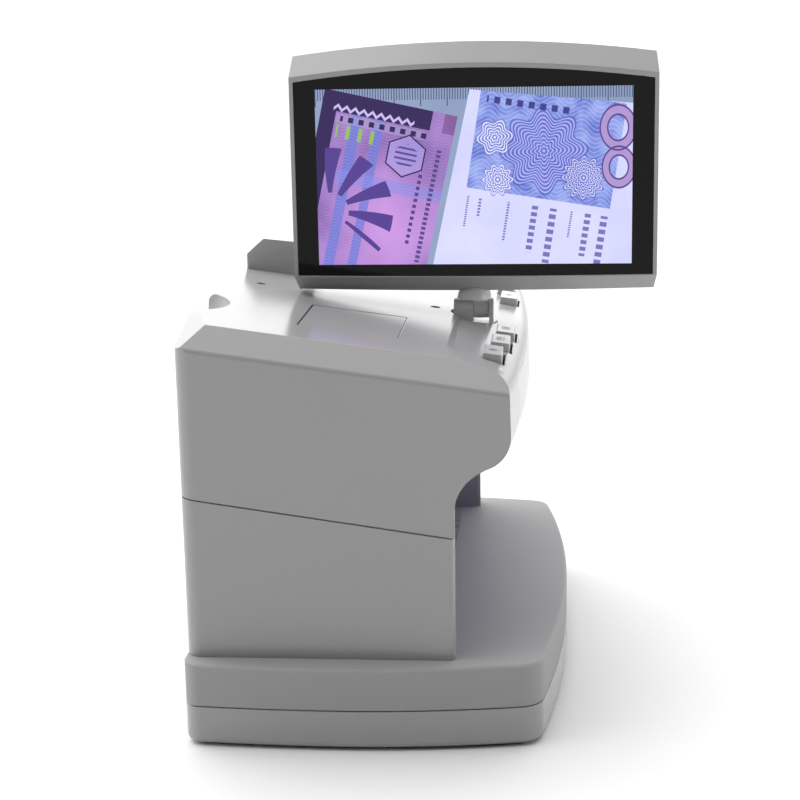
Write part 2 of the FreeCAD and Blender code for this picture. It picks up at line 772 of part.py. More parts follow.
def lamp_pins(side, x, y):
    return [rod(LAMP_PIN_R, (side * x, y + dy, LAMP_Z), X_AXIS * side, LAMP_PIN_L) for dy in LAMP_PIN_Y]


def lamp_end_caps():
    caps = []
    for y in LAMP_Y:
        for side in (-1, 1):
            cap = rod(LAMP_R, (side * LAMP_HALF, y, LAMP_Z), X_AXIS * side, LAMP_CAP)
            caps.append(join(cap, *lamp_pins(side, LAMP_HALF + LAMP_CAP, y)))
    return Part.makeCompound(caps)


def lamp_sockets():
    sockets = []
    x0 = LAMP_HALF + LAMP_CAP
    for y in LAMP_Y:
        for side in (-1, 1):
            block = box(x0, x0 + 6, y - 8, y + 8, CEILING_Z + CEILING_T, LAMP_Z + 8)
            if side < 0:
                block = mirrored(block)
            sockets.append(block.cut(lamp_pins(side, x0, y)))
    return Part.makeCompound(sockets)


def lamp_reflectors():
    reflectors = []
    base = LAMP_Z - 12
    top = LAMP_Z + 9
    sheet = 0.6
    for y in LAMP_Y:
        outer = [(y - 11, base), (y - 10, top), (y + 10, top), (y + 11, base)]
        inner = [(y + 11 - sheet, base), (y + 10 - sheet, top - sheet)]
        inner += [(y - 10 + sheet, top - sheet), (y - 11 + sheet, base)]
        reflectors.append(prism(sharp(outer + inner), in_yz(-LAMP_HALF), V(2 * LAMP_HALF, 0, 0)))
    return Part.makeCompound(reflectors)


def over_camera(half_w, z0, z1):
    """Upright block around the camera's axis, as deep as its bracket."""
    return box(-half_w, half_w, CAMERA_Y - CAMERA_HALF_D, CAMERA_Y + CAMERA_HALF_D, z0, z1)


def camera_bracket():
    under_z = BRACKET_TOP_Z - BRACKET_T
    top = over_camera(BRACKET_HALF_W, under_z, BRACKET_TOP_Z)
    block = over_camera(BRACKET_HALF_W, CEILING_Z + CEILING_T, under_z)
    legs = block.cut(over_camera(BRACKET_HALF_W - BRACKET_T, 100, 200))
    return join(top, legs).cut(pillar(0, CAMERA_Y, 150, 170, 7))


def camera_board():
    top_z = BRACKET_TOP_Z - BRACKET_T
    board = over_camera(19, top_z - CAMERA_BOARD_T, top_z)
    return board.cut(pillar(0, CAMERA_Y, 150, 170, 6))


def camera_lens():
    board_z = BRACKET_TOP_Z - BRACKET_T - CAMERA_BOARD_T
    mount = pillar(0, CAMERA_Y, LENS_MOUNT_Z, board_z, 9)
    barrel = pillar(0, CAMERA_Y, LENS_BARREL_Z, LENS_MOUNT_Z, 7)
    rim = pillar(0, CAMERA_Y, LENS_RIM_Z, LENS_BARREL_Z, 8)
    return join(mount, barrel, rim).cut(pillar(0, CAMERA_Y, 130, 162, LENS_BORE_R))


def lens_glass():
    front_z = LENS_RIM_Z + 1.2
    ball_r = 8
    ball = Part.makeSphere(ball_r, V(0, CAMERA_Y, LENS_RIM_Z + 1 + ball_r))
    return ball.common(pillar(0, CAMERA_Y, front_z, front_z + 3.8, LENS_BORE_R))


def ir_led_boards():
    boards = []
    for side in (-1, 1):
        x = side * IR_X
        boards.append(box(x - 16, x + 16, CAMERA_Y - 9, CAMERA_Y + 9, IR_BOARD_Z, IR_BOARD_Z + BOARD_T))
    return Part.makeCompound(boards)


def ir_leds():
    leds = []
    z = IR_BOARD_Z - IR_LED_H
    for side in (-1, 1):
        for i in (-1, 0, 1):
            x = side * IR_X + i * IR_LED_PITCH
            can = pillar(x, CAMERA_Y, z, IR_BOARD_Z, IR_LED_R)
            ball = Part.makeSphere(IR_LED_R, V(x, CAMERA_Y, z))
            dome = ball.common(pillar(x, CAMERA_Y, z - 5, z, IR_LED_R + 1))
            leds.append(join(can, dome))
    return Part.makeCompound(leds)


def main_board():
    return box(14, 108, BOARD_Y, BOARD_Y + BOARD_T, 45, 105)


def board_connectors():
    return Part.makeCompound([box(x, x + 12, BOARD_Y - 7, BOARD_Y, z, z + 7) for x, z in CONNECTORS])


def power_board():
    return box(-108, -14, BOARD_Y, BOARD_Y + BOARD_T, 42, 90)


def dc_inlet():
    x, z = DC_PLACE
    front_y = BOARD_Y + BOARD_T
    bore_y = front_y + 2.4
    shell = box(x - 5, x + 5, front_y, BACK_Y - WALL, z - 5.5, z + 5.5)
    nose = rod(DC_NOSE_R, (x, BACK_Y - WALL, z), Y_AXIS, WALL - 0.3)
    bore = rod(DC_BORE_R, (x, bore_y, z), Y_AXIS, 20)
    pin = rod(DC_PIN_R, (x, bore_y, z), Y_AXIS, 7)
    return join(join(shell, nose).cut(bore), pin)


def deck_screws():
    screws = []
    for y in (REAR_SCREW_Y, FRONT_SCREW_Y):
        seat = deck_z(y) - DECK_SCREW_SINK
        head = pillar(0, y, seat, seat + 2.2, DECK_SCREW_HEAD_R)
        shank = pillar(0, y, seat - 16, seat, DECK_SCREW_R)
        drive_slot = box(-1.4, 1.4, y - 0.3, y + 0.3, seat + 1.2, seat + 3)
        screws.append(join(head, shank).cut(drive_slot))
    return Part.makeCompound(screws)


def cover_block(inset):
    """The raised cover's outside, or with an inset its hollow: sloping shoulders under a flat top."""
    x0, x1 = COVER_X
    y0, y1 = COVER_Y
    low = -5
    lean = inset * 0.4
    corners = [
        (y0 + inset, deck_z(y0) + low, 0),
        (y1 - inset, deck_z(y1) + low, 0),
        (y1 - inset, COVER_SHOULDER_Z[1] - lean, 1.5),
        (y1 - COVER_SLANT - lean, COVER_TOP_Z[1] - inset, 1.5),
        (y0 + COVER_SLANT + lean, COVER_TOP_Z[0] - inset, 1.5),
        (y0 + inset, COVER_SHOULDER_Z[0] - lean, 1.5),
    ]
    return prism(corners, in_yz(x0 + inset), V(x1 - x0 - 2 * inset, 0, 0))


def raised_cover():
    x0, x1 = COVER_X
    y0, y1 = COVER_Y
    plan = [(x0, y0, 1), (x1, y0, 7), (x1, y1, 7), (x0, y1, 1)]
    outer = cover_block(0).common(prism(plan, in_xy(150), V(0, 0, 100)))
    below_deck = deck_slab(x0 - 5, x1 + 5, y0 - 5, y1 + 5, -20, 0)
    return outer.cut([cover_block(COVER_WALL), below_deck])


# Keys --------------------------------------------------------------------------------------------

def key(x):
    y = key_centre_y(x)
    y0 = y - KEY_L / 2
    y1 = y + KEY_L / 2
    top_corners = [
        (y0, zone_z(y0) - 2.2, 0),
        (y1, zone_z(y1) - 1.2, 0),
        (y1, deck_z(y1) + KEY_TOP_OVER_DECK, 0.7),
        (y0, deck_z(y0) + KEY_TOP_OVER_DECK, 0.7),
    ]
    x0 = x - KEY_W / 2
    x1 = x + KEY_W / 2
    plan = [(x0, y0, 0.8), (x1, y0, 0.8), (x1, y1, 0.8), (x0, y1, 0.8)]
    cap = prism(top_corners, in_yz(x0), V(KEY_W, 0, 0)).common(prism(plan, in_xy(140), V(0, 0, 60)))
    stem = pillar(x, y, SWITCH_TOP_Z + KEY_TRAVEL + 0.15, zone_z(y) - 1, STEM_R)
    return join(cap, stem)


def key_board():
    board = box(-106, 98, -41, -25, KEY_BOARD_Z - BOARD_T, KEY_BOARD_Z)
    holes = [pillar(x, KEY_SCREW_Y, 100, 200, KEY_SCREW_R) for x in KEY_SCREW_X]
    return board.cut([pillar(PIVOT_X, PIVOT_Y, 100, 200, 17), nose_tool(WALL + 1)] + holes)


def tact_switches():
    switches = []
    for x in KEY_X:
        y = key_centre_y(x)
        body_top_z = KEY_BOARD_Z + SWITCH_BODY_H
        body = box(x - 3, x + 3, y - 3, y + 3, KEY_BOARD_Z, body_top_z)
        switches.append(join(body, pillar(x, y, body_top_z, SWITCH_TOP_Z, 1.7)))
    return Part.makeCompound(switches)


def key_board_screws():
    screws = []
    for x in KEY_SCREW_X:
        head = pillar(x, KEY_SCREW_Y, KEY_BOARD_Z, KEY_BOARD_Z + 1.8, 2.6)
        shank = pillar(x, KEY_SCREW_Y, KEY_BOARD_Z - BOARD_T, KEY_BOARD_Z, KEY_SCREW_R)
        screws.append(join(head, shank))
    return Part.makeCompound(screws)


# Deck lid ----------------------------------------------------------------------------------------

def deck_lid():
    """Flat lid whose rear edge is rounded about the hinge axis."""
    x0, x1 = LID_X
    axis_y = LID_Y[1] - LID_T / 2
    axis_z = deck_z(axis_y) - LID_DROP - LID_T / 2
    lid = deck_slab(x0, x1, LID_Y[0], axis_y, -LID_DROP - LID_T, -LID_DROP)
    edge_r = LID_T / 2 * math.cos(math.atan(DECK_SLOPE))
    return join(lid, rod(edge_r, (x0, axis_y, axis_z), X_AXIS, x1 - x0))


# Hinge -------------------------------------------------------------------------------------------

def on_pivot_axis(radius, y_from, y_to):
    return rod(radius, (PIVOT_X, y_from, BARREL_Z), V(0, -1, 0), y_from - y_to)


def pivot_bushing():
    flange = pillar(PIVOT_X, PIVOT_Y, SOCKET_Z - 8, SOCKET_Z - 6, 10.5)
    sleeve = pillar(PIVOT_X, PIVOT_Y, SOCKET_Z - 6, SOCKET_Z, BUSHING_R)
    return join(flange, sleeve).cut(pillar(PIVOT_X, PIVOT_Y, 150, 170, SHAFT_R + PIN_CLEARANCE))


def swivel_turret():
    """Turntable with its hollow shaft, two thin ears and the fixed half of the hinge barrel."""
    disc = pillar(PIVOT_X, PIVOT_Y, SOCKET_Z + 0.1, TURNTABLE_TOP_Z, TURNTABLE_R)
    turret = join(disc, pillar(PIVOT_X, PIVOT_Y, SOCKET_Z - SHAFT_LENGTH, SOCKET_Z + 0.2, SHAFT_R))
    knuckles = [
        (EAR_R, KNUCKLE_Y[0] + EAR_T, KNUCKLE_Y[0]),
        (EAR_R, KNUCKLE_Y[2], KNUCKLE_Y[2] - EAR_T),
        (BARREL_R, KNUCKLE_Y[0] + 1, KNUCKLE_Y[1]),
    ]
    for radius, y_from, y_to in knuckles:
        block = box(PIVOT_X - radius, PIVOT_X + radius, y_to, y_from, TURNTABLE_TOP_Z - 1, BARREL_Z)
        block = block.common(pillar(PIVOT_X, PIVOT_Y, 160, 190, TURNTABLE_R))
        turret = join(turret, block, on_pivot_axis(radius, y_from, y_to))
    pin_hole = on_pivot_axis(PIN_R, KNUCKLE_Y[0] + 1, KNUCKLE_Y[2] - EAR_T - 5)
    cable_bore = pillar(PIVOT_X, PIVOT_Y, 140, TURNTABLE_TOP_Z - 1.5, CABLE_BORE_R)
    return turret.cut([pin_hole, cable_bore])


def swivel_washer():
    washer = pillar(PIVOT_X, PIVOT_Y, SOCKET_Z - 9.2, SOCKET_Z - 8.1, NUT_R)
    return washer.cut(pillar(PIVOT_X, PIVOT_Y, 140, 170, SHAFT_R))


def swivel_nut():
    corners = []
    for i in range(6):
        turn = math.radians(60 * i)
        corners.append((PIVOT_X + NUT_R * math.cos(turn), PIVOT_Y + NUT_R * math.sin(turn), 0))
    nut = prism(corners, in_xy(SOCKET_Z - 14.5), V(0, 0, NUT_H))
    return nut.cut(pillar(PIVOT_X, PIVOT_Y, 140, 170, SHAFT_R))


def tilt_pin():
    return on_pivot_axis(PIN_R, KNUCKLE_Y[0] + 1, KNUCKLE_Y[2] - EAR_T)


def foot_dome(grow):
    """Half ball that hides the neck under the monitor, grown all round by some clearance."""
    low = BARREL_Z + EAR_R + 0.5
    ball = Part.makeSphere(DOME_R + grow, V(DOME_X, PIVOT_Y - 0.4, low))
    return ball.common(box(-40, 40, -60, 40, low - grow, DOME_TOP_Z + grow))


def monitor_foot():
    gap = 0.25
    y_from = KNUCKLE_Y[1] - gap
    y_to = KNUCKLE_Y[2] + gap
    knuckle = on_pivot_axis(BARREL_R, y_from, y_to)
    web = box(*FOOT_WEB_X, y_to, y_from, BARREL_Z, FOOT_PLATE_Z + 1)
    neck_y = (y_from + y_to) / 2
    plate = box(*FOOT_PLATE_X, neck_y - 14, neck_y + 14, FOOT_PLATE_Z, FOOT_PLATE_Z + 2.5)
    return join(knuckle, web, foot_dome(0), plate).cut(on_pivot_axis(PIN_R + PIN_CLEARANCE, 0, -60))


# Monitor -----------------------------------------------------------------------------------------

def monitor_outline(x, half_w, bottom, top, sag, arch):
    """Front-view outline at one depth: straight sides, sagging bottom edge, arched top edge."""
    y0 = MONITOR_Y - half_w
    y1 = MONITOR_Y + half_w
    middle = MONITOR_Y
    edges = [
        arc(V(x, y0, bottom), V(x, middle, bottom - sag), V(x, y1, bottom)),
        line(V(x, y1, bottom), V(x, y1, top)),
        arc(V(x, y1, top), V(x, middle, top + arch), V(x, y0, top)),
        line(V(x, y0, top), V(x, y0, bottom)),
    ]
    return Part.Wire(edges)


def monitor_slab(x, depth, half_w, bottom, top, sag, arch):
    return Part.Face(monitor_outline(x, half_w, bottom, top, sag, arch)).extrude(V(depth, 0, 0))


def bezel_outer():
    """Front face around the glass, then facets back to the full outline, narrower at the sides."""
    facet_x = MONITOR_FRONT_X + FACET_DEPTH
    half_w = MONITOR_HALF_W - SIDE_TAPER
    full = (half_w, MONITOR_BOTTOM_Z, MONITOR_TOP_Z, MONITOR_SAG, MONITOR_ARCH)
    front = monitor_outline(MONITOR_FRONT_X, MONITOR_HALF_W, GLASS_BOTTOM_Z - 0.5, GLASS_TOP_Z + 2.2,
                            GLASS_SAG, MONITOR_ARCH)
    slab = monitor_slab(facet_x, BEZEL_DEPTH - FACET_DEPTH, *full)
    return join(ruled(front, monitor_outline(facet_x, *full)), slab)


def monitor_bezel():
    hollow = monitor_slab(MONITOR_FRONT_X + 4, BEZEL_DEPTH, MONITOR_HALF_W - 4.5, GLASS_BOTTOM_Z + 1.8,
                          GLASS_TOP_Z - 1.8, GLASS_SAG, MONITOR_ARCH)
    rear = monitor_slab(MONITOR_FRONT_X + FACET_DEPTH + 2, BEZEL_DEPTH, MONITOR_HALF_W - SIDE_TAPER - 2,
                        MONITOR_BOTTOM_Z + 2, MONITOR_TOP_Z - 2, MONITOR_SAG, MONITOR_ARCH)
    pocket = monitor_slab(MONITOR_FRONT_X - 1, 1 + GLASS_T + GLASS_SINK, MONITOR_HALF_W - 1.9,
                          GLASS_BOTTOM_Z, GLASS_TOP_Z, GLASS_SAG, MONITOR_ARCH)
    half_w = PANEL_W / 2 + 3
    window = box(MONITOR_FRONT_X - 1, MONITOR_FRONT_X + 10, DISPLAY_Y - half_w, DISPLAY_Y + half_w,
                 DISPLAY_Z - PANEL_H / 2 - 1.5, DISPLAY_Z + PANEL_H / 2 + 3)
    foot_slot = box(FOOT_WEB_X[0] - 0.2, 10, KNUCKLE_Y[2], KNUCKLE_Y[1], 180, FOOT_PLATE_Z)
    return bezel_outer().cut([hollow, rear, pocket, window, foot_slot, foot_dome(DOME_GAP)])


def monitor_glass():
    return monitor_slab(MONITOR_FRONT_X + GLASS_SINK, GLASS_T, MONITOR_HALF_W - 2, GLASS_BOTTOM_Z + 0.1,
                        GLASS_TOP_Z - 0.1, GLASS_SAG, MONITOR_ARCH)


def lcd_panel():
    x0 = MONITOR_FRONT_X + GLASS_SINK + GLASS_T
    half_w = PANEL_W / 2 + 2
    half_h = PANEL_H / 2 + 1
    z0 = DISPLAY_Z - half_h
    return box(x0, x0 + PANEL_T, DISPLAY_Y - half_w, DISPLAY_Y + half_w, z0, DISPLAY_Z + half_h)


def display_board():
    return box(-6.0, -4.4, MONITOR_Y - 45, MONITOR_Y + 45, 212, 270)


def rear_cover_block(inset):
    half_w = MONITOR_HALF_W - SIDE_TAPER - inset
    rim = monitor_outline(BEZEL_BACK_X, half_w, MONITOR_BOTTOM_Z + inset, MONITOR_TOP_Z - inset,
                          MONITOR_SAG, MONITOR_ARCH)
    rear = monitor_outline(BEZEL_BACK_X + COVER_DEPTH - inset, half_w - 14, MONITOR_BOTTOM_Z + 17 + inset,
                           MONITOR_TOP_Z - 12 - inset, 0.4, MONITOR_ARCH - 1)
    return ruled(rim, rear)


def rear_cover_groove():
    """Shadow line where the rear cover meets the bezel."""
    outer = monitor_slab(BEZEL_BACK_X, 0.5, MONITOR_HALF_W + 5, MONITOR_BOTTOM_Z - 5,
                         MONITOR_TOP_Z + 5, MONITOR_SAG, MONITOR_ARCH)
    core = monitor_slab(BEZEL_BACK_X - 1, 3, MONITOR_HALF_W - SIDE_TAPER - GROOVE_DEPTH,
                        MONITOR_BOTTOM_Z + GROOVE_DEPTH, MONITOR_TOP_Z - GROOVE_DEPTH,
                        MONITOR_SAG, MONITOR_ARCH)
    return outer.cut(core)


def monitor_rear_cover():
    cover = rear_cover_block(0).cut(rear_cover_block(COVER_SHELL))
    cuts = [rear_cover_groove(), foot_dome(DOME_GAP)]
    for i in range(MONITOR_VENTS):
        y = MONITOR_Y + MONITOR_VENT_PITCH * (i - (MONITOR_VENTS - 1) / 2)
        cuts.append(box(0, 40, y - 1.2, y + 1.2, 262, 280))
    posts = []
    for y, z in MONITOR_SCREWS:
        post = rod(4.4, (BEZEL_BACK_X, y, z), X_AXIS, COVER_DEPTH - 2)
        posts.append(post.common(rear_cover_block(0.5)))
        cuts.append(rod(MONITOR_SCREW_HEAD_R + 0.2, (MONITOR_SCREW_SEAT_X, y, z), X_AXIS, 30))
        cuts.append(rod(MONITOR_SCREW_R, (-20, y, z), X_AXIS, 40))
    return cover.fuse(posts).cut(cuts)


def monitor_screws():
    screws = []
    for y, z in MONITOR_SCREWS:
        head = rod(MONITOR_SCREW_HEAD_R, (MONITOR_SCREW_SEAT_X, y, z), X_AXIS, 1.8)
        shank = rod(MONITOR_SCREW_R, (BEZEL_BACK_X, y, z), X_AXIS, MONITOR_SCREW_SEAT_X - BEZEL_BACK_X)
        screws.append(join(head, shank))
    return Part.makeCompound(screws)


def main():
    os.makedirs("parts", exist_ok=True)
    save(base_pan(), "base_pan")
    save(base_tray(), "base_tray")
    save(rubber_feet(), "rubber_feet")
    save(base_screws(), "base_screws")
    save(inspection_plate(), "inspection_plate")
    save(lower_housing(), "lower_housing")
    save(upper_housing(), "upper_housing")
    save(chamber_liner(), "chamber_liner")
    save(ceiling_panel(), "ceiling_panel")
    save(lamp_window(LAMP_Y[0]), "lamp_window_front")
    save(lamp_window(LAMP_Y[1]), "lamp_window_rear")
    save(camera_window(), "camera_window")
    save(uv_lamp(LAMP_Y[0]), "uv_lamp_front")
    save(uv_lamp(LAMP_Y[1]), "uv_lamp_rear")
    save(lamp_end_caps(), "lamp_end_caps")
    save(lamp_sockets(), "lamp_sockets")
    save(lamp_reflectors(), "lamp_reflectors")
    save(camera_bracket(), "camera_bracket")
    save(camera_board(), "camera_board")
    save(camera_lens(), "camera_lens")
    save(lens_glass(), "lens_glass")
    save(ir_led_boards(), "ir_led_boards")
    save(ir_leds(), "ir_leds")
    save(main_board(), "main_board")
    save(board_connectors(), "board_connectors")
    save(power_board(), "power_board")
    save(dc_inlet(), "dc_inlet")
    save(deck_screws(), "deck_screws")
    save(raised_cover(), "raised_cover")
    save(key_board(), "key_board")
    save(tact_switches(), "tact_switches")
    save(key_board_screws(), "key_board_screws")
    save(pivot_bushing(), "pivot_bushing")
    for number, x in enumerate(KEY_X, start=1):
        save(key(x), "key_" + str(number))
    save(deck_lid(), "deck_lid")
    save(swivel_turret(), "swivel_turret")
    save(swivel_washer(), "swivel_washer")
    save(swivel_nut(), "swivel_nut")
    save(tilt_pin(), "tilt_pin")
    save(monitor_foot(), "monitor_foot")
    save(monitor_bezel(), "monitor_bezel")
    save(monitor_glass(), "monitor_glass")
    save(lcd_panel(), "lcd_panel")
    save(display_board(), "display_board")
    save(monitor_rear_cover(), "monitor_rear_cover")
    save(monitor_screws(), "monitor_screws")


main()
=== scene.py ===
import json
import math
import bpy
import bmesh
from mathutils import Matrix, Vector

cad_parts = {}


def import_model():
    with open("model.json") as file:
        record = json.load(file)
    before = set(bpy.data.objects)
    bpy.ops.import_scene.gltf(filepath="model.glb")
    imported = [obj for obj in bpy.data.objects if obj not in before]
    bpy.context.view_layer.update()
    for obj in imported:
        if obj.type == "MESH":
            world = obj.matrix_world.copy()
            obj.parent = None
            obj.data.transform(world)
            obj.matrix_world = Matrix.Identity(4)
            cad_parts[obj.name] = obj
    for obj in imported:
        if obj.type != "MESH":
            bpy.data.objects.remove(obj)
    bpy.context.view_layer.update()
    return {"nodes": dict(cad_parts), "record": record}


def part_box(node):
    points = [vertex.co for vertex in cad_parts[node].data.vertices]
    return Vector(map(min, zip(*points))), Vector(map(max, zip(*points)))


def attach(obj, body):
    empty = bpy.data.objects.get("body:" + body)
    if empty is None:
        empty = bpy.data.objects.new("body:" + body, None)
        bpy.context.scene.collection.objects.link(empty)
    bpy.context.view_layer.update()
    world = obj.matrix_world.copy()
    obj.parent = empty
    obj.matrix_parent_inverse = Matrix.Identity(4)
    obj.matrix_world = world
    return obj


# Looks of the banknote viewer: materials for every CAD node, the printed key symbols, the picture on
# the monitor, the light, the floor and the camera. Metres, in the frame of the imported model.

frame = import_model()
NODES = frame["nodes"]
MM = 0.001

# Camera
CAMERA_PLACE = Vector((-0.86534, -0.06201, 0.32594))
CAMERA_HEADING = math.radians(5.38)
CAMERA_ELEVATION = math.radians(-12.90)
CAMERA_ROLL = math.radians(-1.10)
CAMERA_LENS = 80.30
CAMERA_SENSOR = 36.0

# The lit picture, and the size that its drawing is laid out for, in millimetres
PICTURE_W = 149.3
PICTURE_H = 83.26
LAYOUT_W = 154.08

DECK_SLOPE = 0.1395
HOUSING = (0.335, 0.337, 0.332)
SYMBOL_RISE = 0.00004
SYMBOL_LIFT = 0.00012
INSPECTION_FILL_LOW = 0.6
INSPECTION_FILL_HIGH = 0.1
WINDOW_FADE = (104, 88)

# Studio
FLOOR_SIZE = 60
FLOOR_DROP = 0.0002
SKY_DARK = (0.04, 0.04, 0.042)
SKY_BRIGHT = (2.0, 2.0, 2.0)
SKY_AXIS = (0.6, 0.45, 0.66)
SKY_EDGE = (0.05, 0.6)
HINGE_PLACE = (0, -0.018, 0.174)


# Node maths --------------------------------------------------------------------------------------

class Flow:
    """A number in a shader tree, so that node maths reads as plain arithmetic."""

    def __init__(self, tree, socket):
        self.tree = tree
        self.socket = socket

    def op(self, operation, *others):
        node = self.tree.nodes.new("ShaderNodeMath")
        node.operation = operation
        for slot, value in zip(node.inputs, (self,) + others):
            if isinstance(value, Flow):
                self.tree.links.new(value.socket, slot)
            else:
                slot.default_value = value
        return Flow(self.tree, node.outputs[0])

    def __add__(self, other):
        return self.op("ADD", other)

    def __sub__(self, other):
        return self.op("SUBTRACT", other)

    def __mul__(self, other):
        return self.op("MULTIPLY", other)

    def __truediv__(self, other):
        return self.op("DIVIDE", other)

    def above(self, edge):
        return self.op("GREATER_THAN", edge)

    def below(self, edge):
        return self.op("LESS_THAN", edge)

    def between(self, low, high):
        return self.above(low) * self.below(high)

    def near(self, centre, reach):
        return (self - centre).op("ABSOLUTE").below(reach)

    def sin(self):
        return self.op("SINE")

    def fract(self):
        return self.op("FRACT")

    def ramp(self, low, high):
        """0 below low, 1 above high and straight between."""
        return ((self - low) / (high - low)).op("MAXIMUM", 0.0).op("MINIMUM", 1.0)


def hypot(a, b):
    return (a * a + b * b).op("SQRT")


def angle(a, b):
    return b.op("ARCTAN2", a)


def place_flows(tree):
    """Object coordinates in millimetres, as three flows."""
    coords = tree.nodes.new("ShaderNodeTexCoord")
    split = tree.nodes.new("ShaderNodeSeparateXYZ")
    tree.links.new(coords.outputs["Object"], split.inputs[0])
    return [Flow(tree, out) * 1000.0 for out in split.outputs]


def noise(tree, scale, detail=2.0, stretch=(1, 1, 1)):
    """Procedural noise from 0 to 1 over the object's own coordinates, in features per metre."""
    coords = tree.nodes.new("ShaderNodeTexCoord")
    mapping = tree.nodes.new("ShaderNodeMapping")
    mapping.inputs["Scale"].default_value = stretch
    texture = tree.nodes.new("ShaderNodeTexNoise")
    texture.inputs["Scale"].default_value = scale
    texture.inputs["Detail"].default_value = detail
    tree.links.new(coords.outputs["Object"], mapping.inputs["Vector"])
    tree.links.new(mapping.outputs[0], texture.inputs["Vector"])
    return Flow(tree, texture.outputs[0])


def mix(tree, amount, first, second):
    """Blend of two colours, each a socket or a plain triple, by a flow."""
    node = tree.nodes.new("ShaderNodeMix")
    node.data_type = "RGBA"
    tree.links.new(amount.socket, node.inputs[0])
    for slot, value in ((node.inputs[6], first), (node.inputs[7], second)):
        if isinstance(value, tuple):
            slot.default_value = (*value, 1.0)
        else:
            tree.links.new(value, slot)
    return node.outputs[2]


def new_material(name):
    material = bpy.data.materials.new(name)
    material.use_nodes = True
    return material, material.node_tree, material.node_tree.nodes["Principled BSDF"]


def shades(color, spread):
    dark = tuple(c * (1 - spread) for c in color)
    light = tuple(min(1.0, c * (1 + spread)) for c in color)
    return dark, light


def bump(tree, shader, height, strength, distance, soft_edge=0.0):
    """Surface relief; a soft edge rounds the light on sharp edges by that many metres."""
    node = tree.nodes.new("ShaderNodeBump")
    node.inputs["Strength"].default_value = strength
    node.inputs["Distance"].default_value = distance
    tree.links.new(height.socket, node.inputs["Height"])
    if soft_edge > 0:
        bevel = tree.nodes.new("ShaderNodeBevel")
        bevel.samples = 4
        bevel.inputs["Radius"].default_value = soft_edge
        tree.links.new(bevel.outputs[0], node.inputs["Normal"])
    tree.links.new(node.outputs[0], shader.inputs["Normal"])


# Materials ---------------------------------------------------------------------------------------

def moulded_plastic(name, color, roughness, grain=0.10, soft_edge=0.0, specular=0.5):
    """Fine-textured moulded plastic, very slightly uneven in shade and gloss."""
    material, tree, shader = new_material(name)
    dark, light = shades(color, 0.03)
    mottle = noise(tree, 18, 2) * 0.6 + noise(tree, 700, 2) * 0.4
    tree.links.new(mix(tree, mottle, dark, light), shader.inputs["Base Color"])
    tree.links.new((noise(tree, 30, 2) * 0.05 + roughness).socket, shader.inputs["Roughness"])
    height = noise(tree, 2200, 2)
    bump(tree, shader, height, grain, 0.0002, soft_edge)
    shader.inputs["Specular IOR Level"].default_value = specular
    return material


def metal(name, color, roughness, stretch=(1, 1, 1)):
    material, tree, shader = new_material(name)
    dark, light = shades(color, 0.08)
    streak = noise(tree, 500, 4, stretch)
    tree.links.new(mix(tree, streak, dark, light), shader.inputs["Base Color"])
    tree.links.new((streak * 0.15 + roughness).socket, shader.inputs["Roughness"])
    shader.inputs["Metallic"].default_value = 1.0
    bump(tree, shader, streak, 0.15, 0.0001)
    return material


def rubber(name):
    material, tree, shader = new_material(name)
    grain = noise(tree, 1800, 3)
    body = mix(tree, grain, (0.018, 0.018, 0.018), (0.035, 0.035, 0.034))
    tree.links.new(body, shader.inputs["Base Color"])
    tree.links.new((grain * 0.15 + 0.7).socket, shader.inputs["Roughness"])
    bump(tree, shader, grain, 0.3, 0.0002)
    return material


def circuit_board(name):
    """Green solder mask with faint tracks and pads."""
    material, tree, shader = new_material(name)
    x, _, z = place_flows(tree)
    tracks = ((x + z * 0.5) / 2.4).fract().below(0.28) * noise(tree, 120, 1).above(0.48)
    mask = mix(tree, noise(tree, 80, 3), (0.010, 0.085, 0.035), (0.018, 0.12, 0.05))
    body = mix(tree, tracks, mask, (0.035, 0.19, 0.085))
    pads = (x / 5).fract().near(0.5, 0.12) * (z / 5).fract().near(0.5, 0.12)
    body = mix(tree, pads, body, (0.6, 0.5, 0.25))
    tree.links.new(body, shader.inputs["Base Color"])
    shader.inputs["Roughness"].default_value = 0.3
    bump(tree, shader, tracks, 0.3, 0.0001)
    return material


def clear_glass(name):
    material, tree, shader = new_material(name)
    smear = noise(tree, 40, 4).ramp(0.4, 0.8)
    tree.links.new((smear * 0.06 + 0.02).socket, shader.inputs["Roughness"])
    tree.links.new(mix(tree, smear, (0.93, 0.95, 0.97), (0.86, 0.89, 0.92)), shader.inputs["Base Color"])
    shader.inputs["Transmission Weight"].default_value = 1.0
    shader.inputs["IOR"].default_value = 1.5
    return material


def glowing_window(name, color, strength):
    """Frosted window with a lamp behind it: brightest along its middle."""
    material, tree, shader = new_material(name)
    x = place_flows(tree)[0]
    frost = noise(tree, 700, 3)
    tree.links.new(mix(tree, frost, (0.5, 0.48, 0.6), (0.62, 0.6, 0.7)), shader.inputs["Base Color"])
    ends = x.op("ABSOLUTE").ramp(*WINDOW_FADE)
    glow = mix(tree, ends * (frost * 0.2 + 0.85), (0, 0, 0), color)
    tree.links.new(glow, shader.inputs["Emission Color"])
    shader.inputs["Emission Strength"].default_value = strength
    shader.inputs["Roughness"].default_value = 0.35
    bump(tree, shader, frost, 0.2, 0.0001)
    return material


